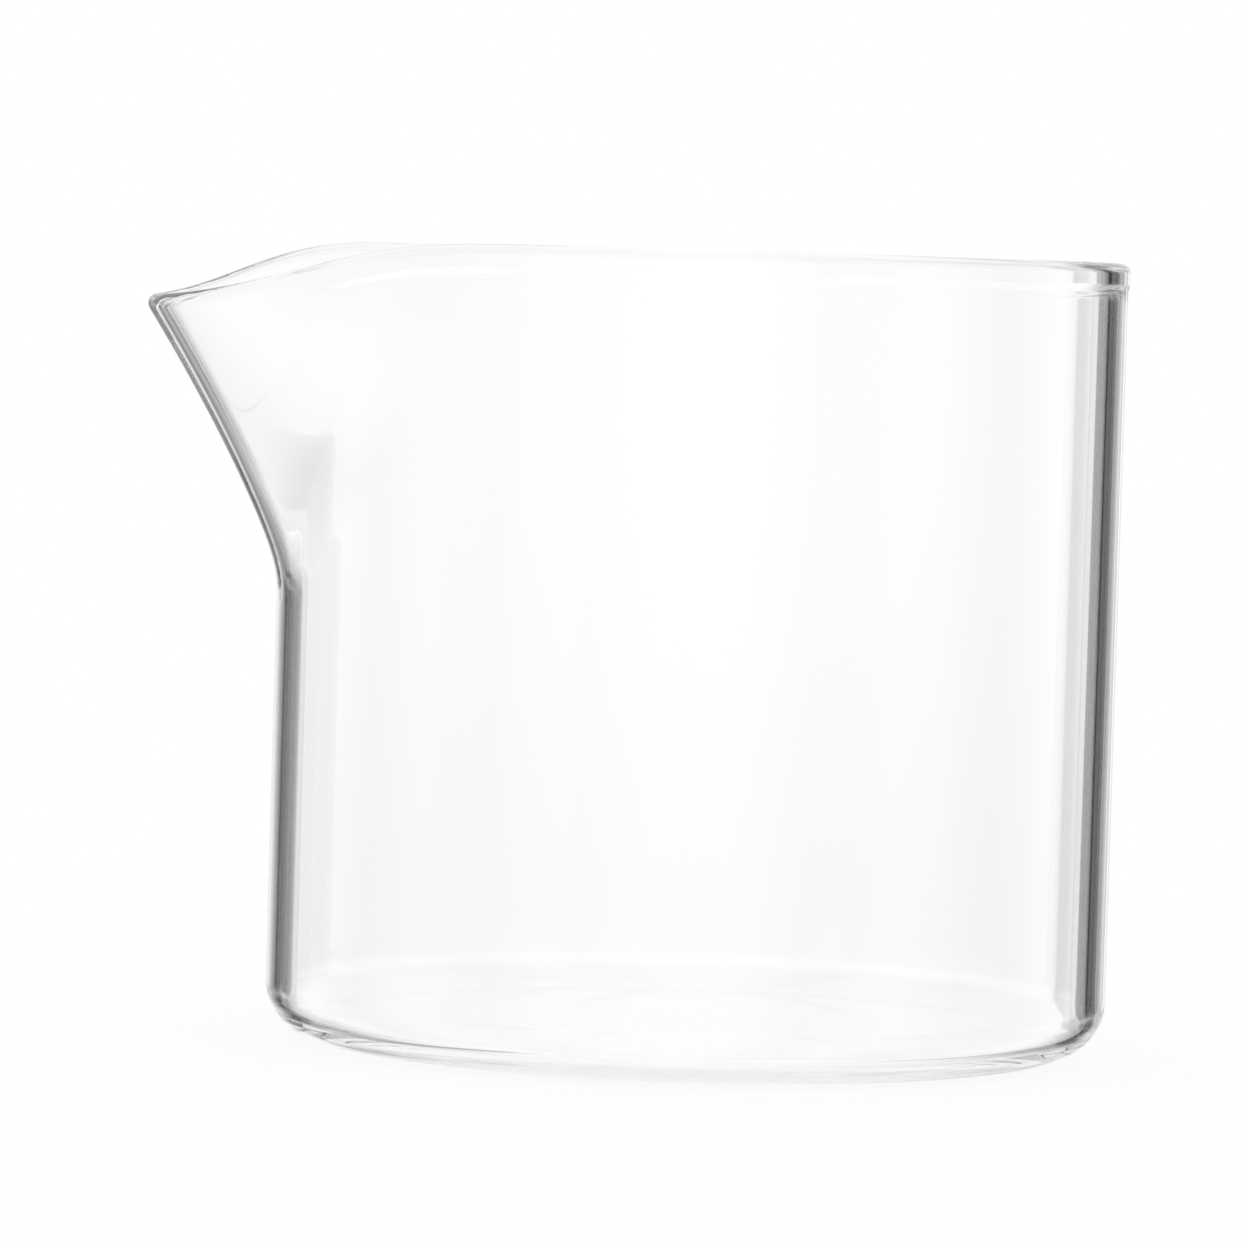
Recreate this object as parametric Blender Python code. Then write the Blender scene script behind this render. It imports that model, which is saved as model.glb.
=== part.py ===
"""A squat pouring beaker: one piece of clear borosilicate glass, blown, with a pulled spout.

The beaker stands on the origin with its barrel along +Z and its spout towards -X.
Its outer surface is a turned profile, from the middle of the base to the lip, drawn outward
into a spout whose flanks are flat and leave the barrel along its tangents. The inner surface
follows it one wall thickness inside, turns into the floor with a smaller heel of its own, and
meets it at the lip in a round fire-polished bead.
"""

import math

import bmesh
import bpy
from mathutils import Vector

# Barrel, in metres
BARREL_RADIUS = 0.0400
HEIGHT = 0.0755
HEEL_RADIUS = 0.0054
INNER_HEEL_RADIUS = 0.0026
WALL = 0.00185
BASE_THICKNESS = 0.0021

# Fire-polished bead along the lip, which fades out towards the spout's tip
BEAD_HEIGHT = 0.0028
BEAD_ROUND = 0.0010
BEAD_NECK = 0.0008
BEAD_OUT = 0.00017
BEAD_IN = 0.00008
BEAD_FADE_START = math.radians(36)
BEAD_FADE_END = math.radians(16)

# Spout: the keel leaves the barrel at SPOUT_ROOT and runs out to the tip
SPOUT_ROOT = 0.0418
SPOUT_SLOPE = 0.447
SPOUT_ROOT_CURVE = 0.0039
SPOUT_FLARE = 3.75
KEEL_ROUNDING = 0.09
NEAR_LIP_HALF_ANGLE = math.radians(60)
FAR_LIP_HALF_ANGLE = math.radians(56)
LIP_DROP = 0.0057

# Mesh resolution; KEEL_CROWDING draws the upright edges together at the keel
ANGLE_STEPS = 96
KEEL_CROWDING = 0.5
BASE_RINGS = 2
HEEL_RINGS = 6
WALL_RINGS = 12
BEAD_RINGS = 8
FINE = 1e-6


def clear_scene():
    for thing in list(bpy.data.objects):
        bpy.data.objects.remove(thing, do_unlink=True)


def lip_height(angle):
    """Height of the lip at an angle measured from the middle of the spout, in radians."""
    half_angle = NEAR_LIP_HALF_ANGLE if angle > 0 else FAR_LIP_HALF_ANGLE
    if abs(angle) >= half_angle:
        return HEIGHT
    return HEIGHT - LIP_DROP * math.cos(0.5 * math.pi * angle / half_angle) ** 4


def spout_push(angle, height):
    """How far the wall stands out past the barrel: two flanks tangent to it meet in a rounded keel."""
    rise = height - SPOUT_ROOT
    if rise <= 0:
        return 0.0
    keel = SPOUT_SLOPE * (math.hypot(rise, SPOUT_ROOT_CURVE) - SPOUT_ROOT_CURVE)
    keel += SPOUT_FLARE * rise * rise
    reach = KEEL_ROUNDING + math.acos(BARREL_RADIUS / (BARREL_RADIUS + keel))
    turned = math.hypot(angle, KEEL_ROUNDING)
    if turned >= reach:
        return 0.0
    return BARREL_RADIUS / math.cos(reach - turned) - BARREL_RADIUS


def placed(angle, radius, height):
    """A point at an angle from the middle of the spout, which faces -X."""
    return Vector((-radius * math.cos(angle), -radius * math.sin(angle), height))


def turned_point(angle, share, floor, side_radius, heel_radius):
    """A flat floor (share up to 1) and the rounded heel (up to 2) that joins it to an upright side."""
    flat_radius = side_radius - heel_radius
    if share <= 1:
        return placed(angle, flat_radius * share, floor)
    turn = 0.5 * math.pi * (share - 1)
    radius = flat_radius + heel_radius * math.sin(turn)
    return placed(angle, radius, floor + heel_radius * (1 - math.cos(turn)))


def wall_point(angle, height):
    return placed(angle, BARREL_RADIUS + spout_push(angle, height), height)


def wall_frame(angle, height):
    """Outward normal of the wall and the direction up along it."""
    around = wall_point(angle + FINE, height) - wall_point(angle - FINE, height)
    up = wall_point(angle, height + FINE) - wall_point(angle, height - FINE)
    return around.cross(up).normalized(), up.normalized()


def smooth(share):
    """0 up to share 0, 1 from share 1 on, and level at both ends."""
    share = min(max(share, 0.0), 1.0)
    return share * share * (3 - 2 * share)


def bead_level(share):
    """Depth below the lip, from the bead's foot (share 0) to its crest (share 1)."""
    if share < 0.2:
        return BEAD_HEIGHT - BEAD_NECK * share / 0.2
    if share < 0.5:
        return BEAD_HEIGHT - BEAD_NECK - (BEAD_HEIGHT - BEAD_NECK - BEAD_ROUND) * (share - 0.2) / 0.3
    return BEAD_ROUND * (1 - math.sin(math.pi * (share - 0.5)))


def roundness(below_top):
    """Thickness of the rounded crest, as a share of the thickness below it."""
    level = max(1 - below_top / BEAD_ROUND, 0.0)
    return math.sqrt(max(1 - level * level, 0.0))


def section(angle):
    """The closed outline at one angle: outer side going up, over the lip, inner side going down."""
    outer, inner = [], []
    for step in range(1, BASE_RINGS + HEEL_RINGS + 1):
        share = step / BASE_RINGS if step <= BASE_RINGS else 1 + (step - BASE_RINGS) / HEEL_RINGS
        outer.append(turned_point(angle, share, 0.0, BARREL_RADIUS, HEEL_RADIUS))
        inner.append(turned_point(angle, share, BASE_THICKNESS, BARREL_RADIUS - WALL, INNER_HEEL_RADIUS))
    bead_start = lip_height(angle) - BEAD_HEIGHT
    inner_start = BASE_THICKNESS + INNER_HEEL_RADIUS
    for step in range(1, WALL_RINGS + 1):
        outer.append(wall_point(angle, HEEL_RADIUS + (bead_start - HEEL_RADIUS) * step / WALL_RINGS))
        height = inner_start + (bead_start - inner_start) * step / WALL_RINGS
        inner.append(wall_point(angle, height) - WALL * wall_frame(angle, height)[0])
    normal, up = wall_frame(angle, bead_start)
    swelling = smooth((abs(angle) - BEAD_FADE_END) / (BEAD_FADE_START - BEAD_FADE_END))
    foot = outer[-1]
    bead_out, bead_in = [], []
    for step in range(1, BEAD_RINGS):
        below_top = bead_level(step / BEAD_RINGS)
        swell = swelling * smooth((BEAD_HEIGHT - below_top) / BEAD_NECK)
        out = foot + (BEAD_HEIGHT - below_top) * up + (swell * BEAD_OUT) * normal
        back = out - (WALL + swell * (BEAD_OUT + BEAD_IN)) * normal
        middle = 0.5 * (out + back)
        bead_out.append(middle.lerp(out, roundness(below_top)))
        bead_in.append(middle.lerp(back, roundness(below_top)))
    crest = foot + BEAD_HEIGHT * up - (0.5 * (WALL - swelling * (BEAD_OUT - BEAD_IN))) * normal
    return outer + bead_out + [crest] + bead_in[::-1] + inner[::-1]


def beaker_mesh():
    mesh = bpy.data.meshes.new("beaker_body")
    work = bmesh.new()
    under = work.verts.new((0.0, 0.0, 0.0))
    floor = work.verts.new((0.0, 0.0, BASE_THICKNESS))
    turns = [2 * math.pi * step / ANGLE_STEPS - math.pi for step in range(ANGLE_STEPS)]
    angles = [turn - KEEL_CROWDING * math.sin(turn) for turn in turns]
    columns = [[work.verts.new(point) for point in section(angle)] for angle in angles]
    for index, column in enumerate(columns):
        following = columns[(index + 1) % ANGLE_STEPS]
        work.faces.new((under, column[0], following[0]))
        work.faces.new((floor, following[-1], column[-1]))
        for low in range(len(column) - 1):
            work.faces.new((column[low], column[low + 1], following[low + 1], following[low]))
    bmesh.ops.recalc_face_normals(work, faces=work.faces)
    if work.calc_volume(signed=True) < 0:
        bmesh.ops.reverse_faces(work, faces=work.faces)
    for face in work.faces:
        face.smooth = True
    work.to_mesh(mesh)
    work.free()
    return mesh


def glass():
    material = bpy.data.materials.new("borosilicate_glass")
    material.use_nodes = True
    shader = material.node_tree.nodes["Principled BSDF"]
    shader.inputs["Base Color"].default_value = (0.93, 0.95, 0.95, 1.0)
    shader.inputs["Roughness"].default_value = 0.02
    shader.inputs["Metallic"].default_value = 0.0
    shader.inputs["IOR"].default_value = 1.473
    shader.inputs["Transmission Weight"].default_value = 1.0
    return material


def main():
    clear_scene()
    body = bpy.data.objects.new("beaker_body", beaker_mesh())
    body.data.materials.append(glass())
    bpy.context.scene.collection.objects.link(body)


main()
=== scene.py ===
"""Looks of the pouring beaker: clear blown glass on a pale bench, lit by bright and dark screens.

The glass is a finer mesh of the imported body's own profile. The screens are painted on the world by
direction: an angle around the beaker, anticlockwise from +X, and an angle above the horizon.
"""

import math

import bmesh
import bpy
from mathutils import Matrix, Vector


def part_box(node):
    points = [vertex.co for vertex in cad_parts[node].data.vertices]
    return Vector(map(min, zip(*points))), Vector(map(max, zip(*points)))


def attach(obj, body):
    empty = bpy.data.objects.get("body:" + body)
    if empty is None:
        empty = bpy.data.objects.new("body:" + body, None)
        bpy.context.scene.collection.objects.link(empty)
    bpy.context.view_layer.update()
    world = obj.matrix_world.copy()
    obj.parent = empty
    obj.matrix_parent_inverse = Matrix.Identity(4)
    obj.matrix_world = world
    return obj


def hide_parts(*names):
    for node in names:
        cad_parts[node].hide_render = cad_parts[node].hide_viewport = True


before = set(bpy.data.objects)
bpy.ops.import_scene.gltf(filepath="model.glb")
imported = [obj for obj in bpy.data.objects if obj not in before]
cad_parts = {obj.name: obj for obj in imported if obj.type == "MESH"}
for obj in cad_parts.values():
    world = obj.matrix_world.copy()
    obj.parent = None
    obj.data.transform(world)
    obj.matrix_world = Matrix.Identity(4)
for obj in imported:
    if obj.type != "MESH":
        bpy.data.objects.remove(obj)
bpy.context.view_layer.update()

# ---------------------------------------------------------------- sizes, in metres, as in the CAD
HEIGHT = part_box("beaker_body")[1].z
BARREL_RADIUS = 0.0400
HEEL_RADIUS = 0.0054
INNER_HEEL_RADIUS = 0.0026
WALL = 0.00185
BASE_THICKNESS = 0.0021
BEAD_HEIGHT = 0.0028
BEAD_ROUND = 0.0010
BEAD_NECK = 0.0008
BEAD_OUT = 0.00017
BEAD_IN = 0.00008
BEAD_FADE_START = math.radians(36)
BEAD_FADE_END = math.radians(16)
SPOUT_ROOT = 0.0418
SPOUT_SLOPE = 0.447
SPOUT_ROOT_CURVE = 0.0039
SPOUT_FLARE = 3.75
KEEL_ROUNDING = 0.09
NEAR_LIP_HALF_ANGLE = math.radians(60)
FAR_LIP_HALF_ANGLE = math.radians(56)
LIP_DROP = 0.0057

# ---------------------------------------------------------------- mesh resolution
ANGLE_STEPS = 360
KEEL_CROWDING = 0.7
BASE_RINGS = 8
HEEL_RINGS = 28
WALL_RINGS = 68
BEAD_RINGS = 32
# Shares of the bead's rings that have gone by at the end of its neck and at the start of its round top
NECK_PART = 0.25
CAP_PART = 0.55
FINE = 1e-6

# ---------------------------------------------------------------- glass
GLASS_IOR = 1.473
GLASS_TINT = (0.90, 0.91, 0.91, 1)
TINT_DENSITY = 10.0
# Light that stays inside the glass past this many turns is made up for by a glow, per metre of path
GUIDED_DEPTH = 12.0
GUIDED_LIGHT = 1.2


# ---------------------------------------------------------------- shape of the body
def lip_height(angle):
    """Height of the lip at an angle measured from the middle of the spout, in radians."""
    half_angle = NEAR_LIP_HALF_ANGLE if angle > 0 else FAR_LIP_HALF_ANGLE
    if abs(angle) >= half_angle:
        return HEIGHT
    return HEIGHT - LIP_DROP * math.cos(0.5 * math.pi * angle / half_angle) ** 4


def spout_push(angle, height):
    """How far the wall stands out past the barrel: two flanks tangent to it meet in a rounded keel."""
    rise = height - SPOUT_ROOT
    if rise <= 0:
        return 0.0
    keel = SPOUT_SLOPE * (math.hypot(rise, SPOUT_ROOT_CURVE) - SPOUT_ROOT_CURVE)
    keel += SPOUT_FLARE * rise * rise
    reach = KEEL_ROUNDING + math.acos(BARREL_RADIUS / (BARREL_RADIUS + keel))
    turned = math.hypot(angle, KEEL_ROUNDING)
    if turned >= reach:
        return 0.0
    return BARREL_RADIUS / math.cos(reach - turned) - BARREL_RADIUS


def placed(angle, radius, height):
    """A point at an angle from the middle of the spout, which faces -X."""
    return Vector((-radius * math.cos(angle), -radius * math.sin(angle), height))


def turned_point(angle, share, floor, side_radius, heel_radius):
    """A flat floor (share up to 1) and the rounded heel (up to 2) that joins it to an upright side."""
    flat_radius = side_radius - heel_radius
    if share <= 1:
        return placed(angle, flat_radius * share, floor)
    turn = 0.5 * math.pi * (share - 1)
    radius = flat_radius + heel_radius * math.sin(turn)
    return placed(angle, radius, floor + heel_radius * (1 - math.cos(turn)))


def wall_point(angle, height):
    return placed(angle, BARREL_RADIUS + spout_push(angle, height), height)


def wall_frame(angle, height):
    """Outward normal of the wall and the direction up along it."""
    around = wall_point(angle + FINE, height) - wall_point(angle - FINE, height)
    up = wall_point(angle, height + FINE) - wall_point(angle, height - FINE)
    return around.cross(up).normalized(), up.normalized()


def smooth(share):
    """0 up to share 0, 1 from share 1 on, and level at both ends."""
    share = min(max(share, 0.0), 1.0)
    return share * share * (3 - 2 * share)


def bead_level(share):
    """Depth below the lip, from the bead's foot (share 0) to its crest (share 1)."""
    if share < NECK_PART:
        return BEAD_HEIGHT - BEAD_NECK * share / NECK_PART
    if share < CAP_PART:
        upper = (share - NECK_PART) / (CAP_PART - NECK_PART)
        return BEAD_HEIGHT - BEAD_NECK - (BEAD_HEIGHT - BEAD_NECK - BEAD_ROUND) * upper
    turn = 0.5 * math.pi * (share - CAP_PART) / (1 - CAP_PART)
    return BEAD_ROUND * (1 - math.sin(turn))


def bead_share(below_top):
    """How much of the bead's swelling there is: full below its round top, gone at its neck."""
    return smooth((BEAD_HEIGHT - below_top) / BEAD_NECK)


def cap_share(below_top):
    """The round top, as a share of the thickness below it."""
    if below_top >= BEAD_ROUND:
        return 1.0
    level = 1 - below_top / BEAD_ROUND
    return math.sqrt(max(1 - level * level, 0.0))


def section(angle):
    """The closed outline at one angle: outer side going up, over the lip, inner side going down."""
    outer, inner = [], []
    for step in range(1, BASE_RINGS + HEEL_RINGS + 1):
        if step <= BASE_RINGS:
            # rings crowd together towards the edge of the flat base, so that it shades flat
            share = 1 - (1 - step / BASE_RINGS) ** 2
        else:
            share = 1 + (step - BASE_RINGS) / HEEL_RINGS
        outer.append(turned_point(angle, share, 0.0, BARREL_RADIUS, HEEL_RADIUS))
        inner.append(turned_point(angle, share, BASE_THICKNESS, BARREL_RADIUS - WALL, INNER_HEEL_RADIUS))
    bead_start = lip_height(angle) - BEAD_HEIGHT
    inner_start = BASE_THICKNESS + INNER_HEEL_RADIUS
    for step in range(1, WALL_RINGS + 1):
        outer.append(wall_point(angle, HEEL_RADIUS + (bead_start - HEEL_RADIUS) * step / WALL_RINGS))
        height = inner_start + (bead_start - inner_start) * step / WALL_RINGS
        inner.append(wall_point(angle, height) - WALL * wall_frame(angle, height)[0])
    normal, up = wall_frame(angle, bead_start)
    swelling = smooth((abs(angle) - BEAD_FADE_END) / (BEAD_FADE_START - BEAD_FADE_END))
    foot = outer[-1]
    bead_out, bead_in = [], []
    for step in range(1, BEAD_RINGS):
        below_top = bead_level(step / BEAD_RINGS)
        level = foot + (BEAD_HEIGHT - below_top) * up
        swell = swelling * bead_share(below_top)
        out = level + (swell * BEAD_OUT) * normal
        back = level - (WALL + swell * BEAD_IN) * normal
        middle = 0.5 * (out + back)
        bead_out.append(middle.lerp(out, cap_share(below_top)))
        bead_in.append(middle.lerp(back, cap_share(below_top)))
    crest = foot - 0.5 * (WALL - swelling * (BEAD_OUT - BEAD_IN)) * normal + BEAD_HEIGHT * up
    return outer + bead_out + [crest] + bead_in[::-1] + inner[::-1]


def glass_body():
    mesh = bpy.data.meshes.new("blown_glass")
    work = bmesh.new()
    under = work.verts.new((0.0, 0.0, 0.0))
    floor = work.verts.new((0.0, 0.0, BASE_THICKNESS))
    turns = [2 * math.pi * step / ANGLE_STEPS - math.pi for step in range(ANGLE_STEPS)]
    angles = [turn - KEEL_CROWDING * math.sin(turn) for turn in turns]
    columns = [[work.verts.new(point) for point in section(angle)] for angle in angles]
    for index, column in enumerate(columns):
        following = columns[(index + 1) % ANGLE_STEPS]
        work.faces.new((under, column[0], following[0]))
        work.faces.new((floor, following[-1], column[-1]))
        for low in range(len(column) - 1):
            work.faces.new((column[low], column[low + 1], following[low + 1], following[low]))
    bmesh.ops.recalc_face_normals(work, faces=work.faces)
    if work.calc_volume(signed=True) < 0:
        bmesh.ops.reverse_faces(work, faces=work.faces)
    for face in work.faces:
        face.smooth = True
    work.to_mesh(mesh)
    work.free()
    return bpy.data.objects.new("blown_glass", mesh)


def glass_material():
    material = bpy.data.materials.new("clear_borosilicate")
    material.use_nodes = True
    nodes, links = material.node_tree.nodes, material.node_tree.links
    shader = nodes["Principled BSDF"]
    shader.inputs["Base Color"].default_value = (1, 1, 1, 1)
    shader.inputs["Roughness"].default_value = 0.0
    shader.inputs["IOR"].default_value = GLASS_IOR
    shader.inputs["Transmission Weight"].default_value = 1.0
    absorb = nodes.new("ShaderNodeVolumeAbsorption")
    absorb.inputs["Color"].default_value = GLASS_TINT
    absorb.inputs["Density"].default_value = TINT_DENSITY
    path = nodes.new("ShaderNodeLightPath")
    guided = nodes.new("ShaderNodeMath")
    guided.operation = "GREATER_THAN"
    guided.inputs[1].default_value = GUIDED_DEPTH
    links.new(path.outputs["Ray Depth"], guided.inputs[0])
    strength = nodes.new("ShaderNodeMath")
    strength.operation = "MULTIPLY"
    strength.inputs[1].default_value = GUIDED_LIGHT
    links.new(guided.outputs[0], strength.inputs[0])
    glow = nodes.new("ShaderNodeEmission")
    links.new(strength.outputs[0], glow.inputs["Strength"])
    inside = nodes.new("ShaderNodeAddShader")
    links.new(absorb.outputs["Volume"], inside.inputs[0])
    links.new(glow.outputs[0], inside.inputs[1])
    links.new(inside.outputs[0], nodes["Material Output"].inputs["Volume"])
    return material


# ---------------------------------------------------------------- screens: (angle around, brightness)
# Level with the beaker, behind it
BACK_SCREENS = [
    (32.4, 1.03), (33.0, 0.24), (35.2, 0.22), (35.6, 0.02), (46.6, 0.03), (47.2, 0.18), (50.0, 0.16),
    (50.4, 0.03), (54.8, 0.05), (55.2, 0.56), (59.0, 0.46), (62.6, 0.38), (63.0, 1.30), (65.4, 0.92),
    (68.6, 0.68), (69.0, 1.03), (90.0, 1.02), (94.0, 0.84), (96.2, 0.95), (96.6, 0.46), (98.4, 0.36),
    (103.0, 0.16), (103.6, 0.02), (108.8, 0.02), (109.4, 0.40), (112.6, 0.40), (113.2, 0.02),
    (117.6, 0.02), (118.2, 0.44), (122.4, 0.46), (123.0, 1.03),
]
# a little below that
LOW_SCREENS = [
    (26, 1.00), (28.5, 0.60), (30.5, 0.30), (32, 0.02), (47, 0.01), (50.5, 0.20), (53, 0.45),
    (55, 0.74), (64, 0.80), (68.6, 0.66), (69.0, 1.03), (89, 1.03), (91, 0.88), (95, 0.70), (99, 0.58),
    (101, 0.48), (103, 0.40), (105.5, 0.28), (108, 0.22), (111, 0.14), (113.5, 0.28), (116, 0.42),
    (122, 0.45), (124.5, 0.70), (128, 0.85), (131, 1.03),
]
# lower still
UNDER_SCREENS = [
    (22, 1.00), (30, 0.62), (33, 0.50), (35, 0.25), (37, 0.06), (54, 0.08), (57, 0.18), (60, 0.48),
    (63, 0.64), (68, 0.58), (71, 0.72), (75, 0.82), (77, 1.00), (87, 1.03), (91, 0.85), (93, 0.70),
    (95, 0.46), (97, 0.16), (99, 0.02), (106, 0.03), (109, 0.15), (112, 0.33), (118, 0.38), (122, 0.48),
    (126, 0.58), (128, 0.72), (131, 1.03),
]
# and where the bench begins, for light that is mirrored on its way
FLOOR_SCREENS = [
    (18, 1.00), (32, 0.72), (37, 0.50), (42, 0.38), (48, 0.40), (53, 0.42), (56, 0.60), (59, 0.75),
    (62, 0.90), (70, 0.90), (74, 1.03), (87, 1.03), (91, 0.82), (94, 0.74), (98, 0.66), (101, 0.45),
    (105, 0.34), (109, 0.40), (112, 0.60), (121, 0.62), (123, 0.32), (129, 0.30), (134, 0.45),
    (137, 0.65), (140, 1.03),
]
# Right round the beaker, at every height: for light that isn't mirrored on its way
SIDE_SCREENS = [
    (0, 0.25), (8, 1.00), (193, 1.00), (200, 0.25), (208, 0.25), (215, 1.00), (279, 1.00), (287, 0.25),
    (297, 0.25), (304, 1.00), (324, 1.00), (334, 0.25), (360, 0.25),
]
# and, softer, for light that is
SOFT_SCREENS = [
    (0, 0.52), (18, 0.97), (138, 0.97), (158, 0.45), (181, 0.90), (204, 0.45), (224, 0.97), (271, 0.97),
    (291, 0.45), (314, 0.90), (338, 0.40), (360, 0.52),
]
# Angles above the horizon between which one set of screens gives way to the next
BACK_TO_LOW = (-7.0, -8.5)
LOW_TO_UNDER = (-13.5, -17.0)
UNDER_TO_FLOOR = (-21.5, -25.0)
FLOOR_TO_PLAIN = (-29.0, -50.0)
BACK_TO_CEILING = (-1.0, 15.0)
CEILING_SHARE = 0.85
BRIGHT = 1.03
# How far the screens lower still are whitened for light that isn't mirrored on its way
UNDER_WHITENING = 0.65
# Dark strips along the bench: how many degrees each leans per degree of height, and its angle around
STRIPS = [(0.46, 81.0), (0.0, 40.0)]
STRIP_FAR_END = (-21.0, -24.0)
STRIP_NEAR_END = (-62.0, -54.0)
STRIP_HALF_WIDTH = (4.2, 2.6)
STRIP_DARKNESS = 0.50
# A slight dimming below the horizon
DIM_TOP = (-1.0, -6.0)
DIM_BOTTOM = (-40.0, -26.0)
DIMMED = 0.955
# Light that has crossed the glass this many times comes evenly from everywhere
DEEP_TURNS = (6.0, 10.0)
DEEP_LIGHT = 0.97


class WorldNodes:
    """Adds nodes to a tree; values that come in are numbers or the outputs of other nodes."""

    def __init__(self, tree):
        self.nodes = tree.nodes
        self.links = tree.links

    def feed(self, slot, value):
        if not isinstance(value, (int, float)):
            self.links.new(value, slot)
        elif slot.type == "RGBA":
            slot.default_value = (value, value, value, 1)
        else:
            slot.default_value = value

    def maths(self, operation, *values):
        node = self.nodes.new("ShaderNodeMath")
        node.operation = operation
        for index, value in enumerate(values):
            self.feed(node.inputs[index], value)
        return node.outputs[0]

    def ramp(self, along, stops):
        """Brightness at a value, by straight lines from one stop to the next."""
        start, end = stops[0][0], stops[-1][0]
        share = self.nodes.new("ShaderNodeMapRange")
        share.inputs["From Min"].default_value = start
        share.inputs["From Max"].default_value = end
        self.links.new(along, share.inputs["Value"])
        ramp = self.nodes.new("ShaderNodeValToRGB")
        ramp.color_ramp.interpolation = "LINEAR"
        elements = ramp.color_ramp.elements
        elements.remove(elements[-1])
        for index, (at, bright) in enumerate(stops):
            position = (at - start) / (end - start)
            element = elements[0] if index == 0 else elements.new(position)
            element.position = position
            element.color = (bright, bright, bright, 1)
        self.links.new(share.outputs[0], ramp.inputs[0])
        return ramp.outputs[0]

    def step(self, value, ends):
        """0 at the first end and 1 at the second, smoothly between."""
        node = self.nodes.new("ShaderNodeMapRange")
        node.interpolation_type = "SMOOTHSTEP"
        node.inputs["From Min"].default_value = ends[0]
        node.inputs["From Max"].default_value = ends[1]
        self.links.new(value, node.inputs["Value"])
        return node.outputs[0]

    def blend(self, factor, first, second, kind="MIX"):
        node = self.nodes.new("ShaderNodeMix")
        node.data_type = "RGBA"
        node.blend_type = kind
        self.feed(node.inputs["Factor"], factor)
        self.feed(node.inputs[6], first)
        self.feed(node.inputs[7], second)
        return node.outputs[2]


def screens_world():
    """White to the camera and the bench; to the glass, bright and dark screens all round."""
    world = bpy.data.worlds.new("soft_windows")
    bpy.context.scene.world = world
    world.use_nodes = True
    nodes, links = world.node_tree.nodes, world.node_tree.links
    nodes.clear()
    add = WorldNodes(world.node_tree)
    coords = nodes.new("ShaderNodeTexCoord")
    split = nodes.new("ShaderNodeSeparateXYZ")
    links.new(coords.outputs["Generated"], split.inputs[0])
    bearing = add.maths("ARCTAN2", split.outputs[1], split.outputs[0])
    around = add.maths("WRAP", add.maths("MULTIPLY", bearing, 180 / math.pi), 360.0, 0.0)
    up = add.maths("MULTIPLY", add.maths("ARCSINE", split.outputs[2]), 180 / math.pi)
    path = nodes.new("ShaderNodeLightPath")
    # the sky counts as one step more, so light mirrored once on its way arrives after an even number
    mirrored = add.maths("SUBTRACT", 1.0, add.maths("MODULO", path.outputs["Ray Depth"], 2.0))

    under = add.ramp(around, UNDER_SCREENS)
    under = add.blend(mirrored, add.blend(UNDER_WHITENING, under, BRIGHT), under)
    floor = add.blend(mirrored, BRIGHT, add.ramp(around, FLOOR_SCREENS))
    dome = add.ramp(around, BACK_SCREENS)
    dome = add.blend(add.step(up, BACK_TO_LOW), dome, add.ramp(around, LOW_SCREENS))
    dome = add.blend(add.step(up, LOW_TO_UNDER), dome, under)
    dome = add.blend(add.step(up, UNDER_TO_FLOOR), dome, floor)
    dome = add.blend(add.step(up, FLOOR_TO_PLAIN), dome, 1.0)
    dome = add.blend(add.maths("MULTIPLY", add.step(up, BACK_TO_CEILING), CEILING_SHARE), dome, BRIGHT)
    for lean, middle in STRIPS:
        offset = add.maths("SUBTRACT", add.maths("ADD", around, add.maths("MULTIPLY", up, lean)), middle)
        across = add.step(add.maths("ABSOLUTE", offset), STRIP_HALF_WIDTH)
        length = add.maths("MULTIPLY", add.step(up, STRIP_FAR_END), add.step(up, STRIP_NEAR_END))
        within = add.maths("MULTIPLY", length, across)
        dome = add.blend(add.maths("MULTIPLY", within, STRIP_DARKNESS), dome, 0.0)
    below = add.maths("MULTIPLY", add.step(up, DIM_TOP), add.step(up, DIM_BOTTOM))
    dome = add.blend(1.0, dome, add.blend(below, 1.0, DIMMED), "MULTIPLY")
    elsewhere = add.blend(mirrored, add.ramp(around, SIDE_SCREENS), add.ramp(around, SOFT_SCREENS))
    dome = add.blend(1.0, dome, elsewhere, "MULTIPLY")
    dome = add.blend(add.step(path.outputs["Ray Depth"], DEEP_TURNS), dome, DEEP_LIGHT)
    plain = add.maths("MAXIMUM", path.outputs["Is Camera Ray"], path.outputs["Is Diffuse Ray"])
    back = nodes.new("ShaderNodeBackground")
    links.new(add.blend(plain, dome, 1.0), back.inputs["Color"])
    output = nodes.new("ShaderNodeOutputWorld")
    links.new(back.outputs[0], output.inputs["Surface"])


# ---------------------------------------------------------------- bench
BENCH_RADIUS = 0.3
BENCH_BELOW = 0.0002
# The bench takes a faint shadow near the beaker, and is plain white from the fade's end outward
FADE_START = 0.08
FADE_END = 0.22
SHADED_LIGHT = 0.08
OWN_LIGHT = 0.92


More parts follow.
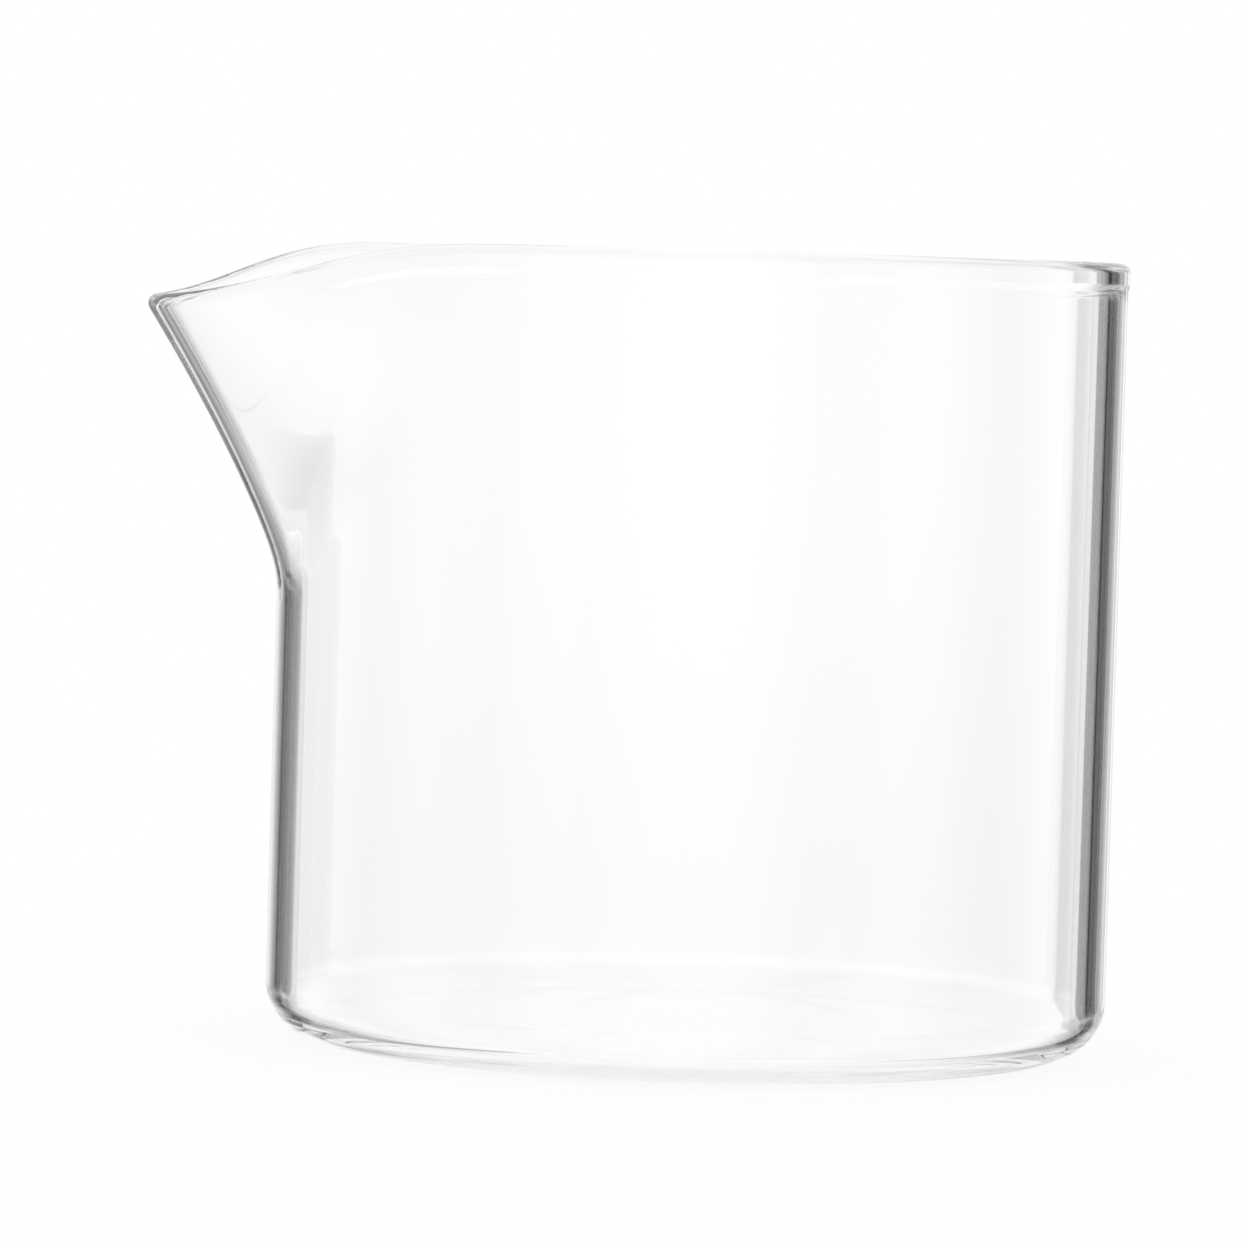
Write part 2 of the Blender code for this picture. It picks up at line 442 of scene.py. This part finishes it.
def bench():
    mesh = bpy.data.meshes.new("pale_bench")
    work = bmesh.new()
    bmesh.ops.create_circle(work, cap_ends=True, segments=96, radius=BENCH_RADIUS)
    work.to_mesh(mesh)
    work.free()
    floor = bpy.data.objects.new("pale_bench", mesh)
    floor.location.z = -BENCH_BELOW
    material = bpy.data.materials.new("pale_bench")
    material.use_nodes = True
    nodes, links = material.node_tree.nodes, material.node_tree.links
    nodes.clear()
    output = nodes.new("ShaderNodeOutputMaterial")
    coords = nodes.new("ShaderNodeTexCoord")
    length = nodes.new("ShaderNodeVectorMath")
    length.operation = "LENGTH"
    links.new(coords.outputs["Object"], length.inputs[0])
    fade = nodes.new("ShaderNodeMapRange")
    fade.interpolation_type = "SMOOTHSTEP"
    fade.inputs["From Min"].default_value = FADE_START
    fade.inputs["From Max"].default_value = FADE_END
    links.new(length.outputs["Value"], fade.inputs["Value"])
    diffuse = nodes.new("ShaderNodeBsdfDiffuse")
    diffuse.inputs["Color"].default_value = (SHADED_LIGHT, SHADED_LIGHT, SHADED_LIGHT, 1)
    glow = nodes.new("ShaderNodeEmission")
    glow.inputs["Strength"].default_value = OWN_LIGHT
    both = nodes.new("ShaderNodeAddShader")
    links.new(diffuse.outputs[0], both.inputs[0])
    links.new(glow.outputs[0], both.inputs[1])
    full = nodes.new("ShaderNodeEmission")
    mixed = nodes.new("ShaderNodeMixShader")
    links.new(fade.outputs[0], mixed.inputs[0])
    links.new(both.outputs[0], mixed.inputs[1])
    links.new(full.outputs[0], mixed.inputs[2])
    links.new(mixed.outputs[0], output.inputs["Surface"])
    mesh.materials.append(material)
    bpy.context.scene.collection.objects.link(floor)
    floor.visible_transmission = False
    floor.visible_glossy = False


# ---------------------------------------------------------------- camera
CAMERA_YAW = math.radians(11)
CAMERA_DISTANCE = 0.700
CAMERA_HEIGHT = 0.0730
CAMERA_ROLL = math.radians(1.75)
CAMERA_LENS = 212.793
SENSOR_WIDTH = 36
AIM_HEIGHT = 0.0376
# The point aimed at stands this far right of and above the middle of the picture, per metre of distance
AIM_RIGHT = 0.0098303
AIM_ABOVE = -0.0036117


def camera():
    data = bpy.data.cameras.new("photo_view")
    data.sensor_width = SENSOR_WIDTH
    data.lens = CAMERA_LENS
    data.clip_end = 20
    view = bpy.data.objects.new("photo_view", data)
    bpy.context.scene.collection.objects.link(view)
    bpy.context.scene.camera = view
    ahead = Vector((math.sin(CAMERA_YAW), math.cos(CAMERA_YAW), 0))
    eye = Vector((0, 0, CAMERA_HEIGHT)) - CAMERA_DISTANCE * ahead
    forward = (Vector((0, 0, AIM_HEIGHT)) - eye).normalized()
    right = forward.cross(Vector((0, 0, 1))).normalized()
    up = right.cross(forward)
    turned_right = right * math.cos(CAMERA_ROLL) + up * math.sin(CAMERA_ROLL)
    turned_up = up * math.cos(CAMERA_ROLL) - right * math.sin(CAMERA_ROLL)
    forward = (forward - AIM_RIGHT * turned_right - AIM_ABOVE * turned_up).normalized()
    turned_right = forward.cross(turned_up).normalized()
    turned_up = turned_right.cross(forward)
    matrix = Matrix((turned_right, turned_up, -forward)).transposed().to_4x4()
    matrix.translation = eye
    view.matrix_world = matrix


LIGHT_BOUNCES = 64

glass = glass_body()
glass.data.materials.append(glass_material())
bpy.context.scene.collection.objects.link(glass)
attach(glass, "root")
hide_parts("beaker_body")
screens_world()
bench()
camera()
scene = bpy.context.scene
scene.view_settings.view_transform = "Standard"
scene.cycles.max_bounces = LIGHT_BOUNCES
scene.cycles.transmission_bounces = LIGHT_BOUNCES
scene.cycles.glossy_bounces = LIGHT_BOUNCES
